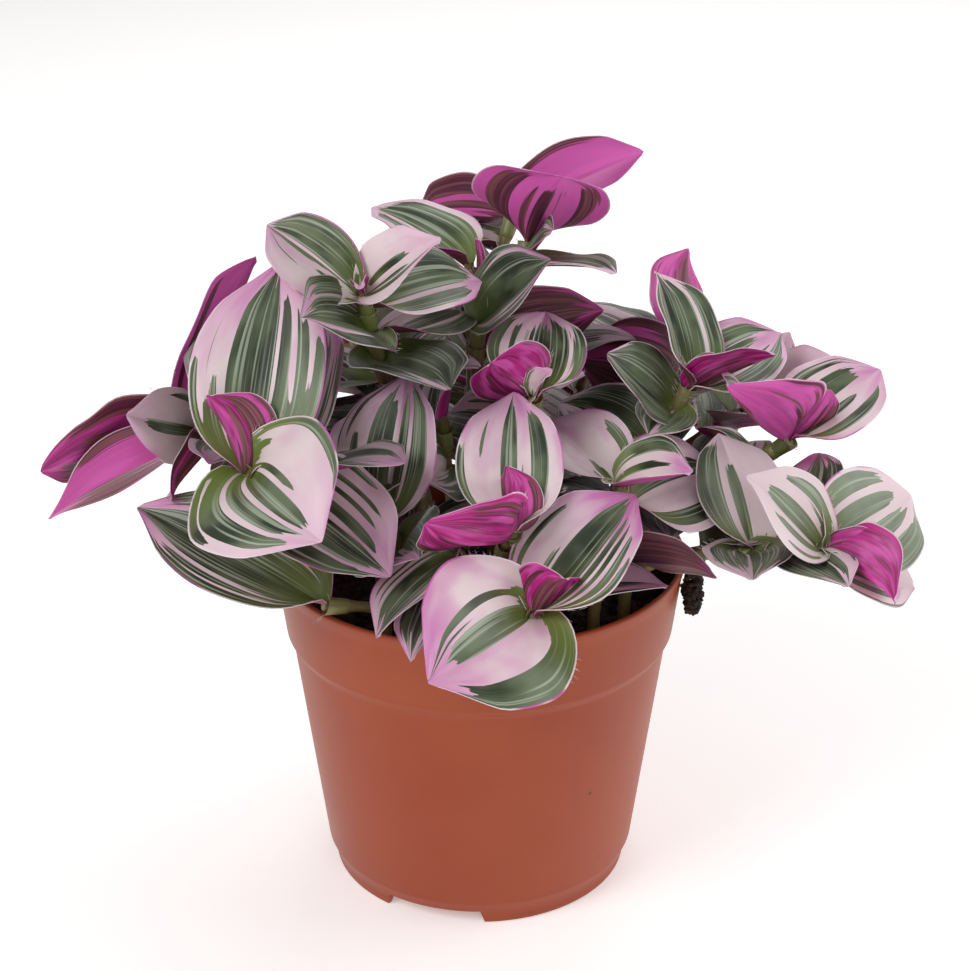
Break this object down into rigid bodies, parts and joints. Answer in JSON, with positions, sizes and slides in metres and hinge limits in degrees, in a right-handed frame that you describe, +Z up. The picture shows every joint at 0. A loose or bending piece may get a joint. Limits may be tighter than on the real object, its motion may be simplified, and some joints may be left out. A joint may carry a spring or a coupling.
{
  "type": "potted tradescantia",
  "caption": "Striped trailing houseplant with leafy stems rooted in soil in a thin-walled nursery pot with a collar under its rim",
  "frame": {"origin": "on the pot's axis, on the surface that the foot ring stands on, under the middle of the whole plant", "axes": "+Z up; the front that the picture shows faces -Y; +X to the right of that view, along the plant's widest spread"},
  "size_m": [0.2422, 0.1861, 0.2111],
  "materials": {
    "pot_plastic": "terracotta-coloured moulded polypropylene, satin, with a slightly glossy rim",
    "potting_soil": "damp dark potting mix, rough",
    "striped_leaf": "living leaf with green, white and pink stripes above and magenta underneath, satin"
  },
  "bodies": {
    "root": {"pot": "pot_plastic", "soil": "potting_soil", "leafy_stem_over_rim": "striped_leaf", "leafy_stem_front_left": "striped_leaf", "leafy_stem_far_right": "striped_leaf", "leafy_stem_front_middle": "striped_leaf", "leafy_stem_right_front": "striped_leaf", "leafy_stem_top_left": "striped_leaf", "leafy_stem_right_outer": "striped_leaf", "leafy_stem_right_upper": "striped_leaf", "leafy_stem_middle": "striped_leaf", "leafy_stem_right_middle": "striped_leaf", "leafy_stem_upper_middle": "striped_leaf", "leafy_stem_left_middle": "striped_leaf", "leafy_stem_left_inner": "striped_leaf", "leafy_stem_far_left": "striped_leaf", "leafy_stem_top": "striped_leaf", "leafy_stem_top_back": "striped_leaf", "leafy_stem_upper_left": "striped_leaf", "leafy_stem_right_behind": "striped_leaf", "leafy_stem_low_left": "striped_leaf", "leafy_stem_low_front": "striped_leaf", "leafy_stem_back_left": "striped_leaf", "leafy_stem_back_left_inner": "striped_leaf", "leafy_stem_back_middle": "striped_leaf", "leafy_stem_back_right_inner": "striped_leaf", "leafy_stem_back_right": "striped_leaf", "leafy_stem_back_top": "striped_leaf"}
  },
  "joints": []
}
